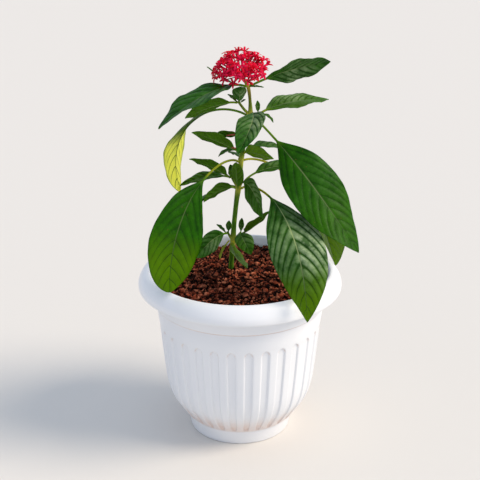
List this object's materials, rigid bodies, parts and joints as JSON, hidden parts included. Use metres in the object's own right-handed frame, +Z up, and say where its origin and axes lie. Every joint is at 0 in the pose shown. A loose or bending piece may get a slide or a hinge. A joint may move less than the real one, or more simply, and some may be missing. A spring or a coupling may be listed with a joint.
{
  "type": "potted plant",
  "caption": "Young star-cluster plant with one red flower head, drooping veined leaves and brown soil in a white fluted pot with a rolled rim.",
  "frame": {"origin": "middle of the pot's flat underside, on the pot's axis", "axes": "+Z up along the pot's axis; -Y towards the viewer of the front, where the two long leaves hang over the rim; +X to the viewer's right"},
  "size_m": [0.214, 0.208, 0.3965],
  "materials": {
    "pot_white": "satin moulded white plastic",
    "soil_brown": "loose dark red-brown coco peat",
    "stem_green": "soft green plant stem",
    "leaf_green": "softly shiny green leaf with sunk veins",
    "leaf_yellow": "yellow fading leaf",
    "flower_red": "matte crimson petals"
  },
  "bodies": {
    "root": {"pot": "pot_white", "soil": "soil_brown", "stem": "stem_green", "leaf_big_right": "leaf_green", "leaf_front_right": "leaf_green", "leaf_front_left": "leaf_green", "leaf_yellow_left": "leaf_yellow", "leaf_back_right": "leaf_green", "leaf_back_left": "leaf_green", "leaf_upper_left": "leaf_green", "leaf_upper_right": "leaf_green", "leaf_shoot_left": "leaf_green", "leaf_shoot_right": "leaf_green", "leaf_front_centre": "leaf_green", "leaf_crowded_left": "leaf_green", "leaf_crowded_small": "leaf_green", "leaf_crowded_front": "leaf_green", "leaf_crowded_back": "leaf_green", "leaf_middle_upper_left": "leaf_green", "leaf_middle_back_left": "leaf_green", "leaf_middle_left": "leaf_green", "leaf_middle_back_right": "leaf_green", "leaf_middle_front": "leaf_green", "leaf_middle_right": "leaf_green", "leaf_low_curled": "leaf_green", "leaf_low_right": "leaf_green", "leaf_low_left": "leaf_green", "leaf_low_front": "leaf_green", "leaf_low_yellow": "leaf_yellow", "leaf_low_bud_left": "leaf_green", "leaf_low_bud_front": "leaf_green", "leaf_low_bud_right": "leaf_green", "leaf_middle_bud_left": "leaf_green", "leaf_middle_bud_top": "leaf_green", "leaf_middle_bud_back": "leaf_green", "leaf_upper_back": "leaf_green", "leaf_twig_left": "leaf_green", "leaf_top_upright": "leaf_green", "leaf_top_bud_left": "leaf_green", "leaf_top_bud_right": "leaf_green", "leaf_right_upright": "leaf_green", "leaf_right_droop": "leaf_green", "leaf_collar_bract": "leaf_green", "leaf_collar_back": "leaf_green", "flower_knob": "stem_green", "flowers_crown": "flower_red", "flowers_42_1": "flower_red", "flowers_42_2": "flower_red", "flowers_42_3": "flower_red", "flowers_62_1": "flower_red", "flowers_62_2": "flower_red", "flowers_62_3": "flower_red", "flowers_62_4": "flower_red", "flowers_82_1": "flower_red", "flowers_82_2": "flower_red", "flowers_82_3": "flower_red", "flowers_82_4": "flower_red"}
  },
  "joints": []
}
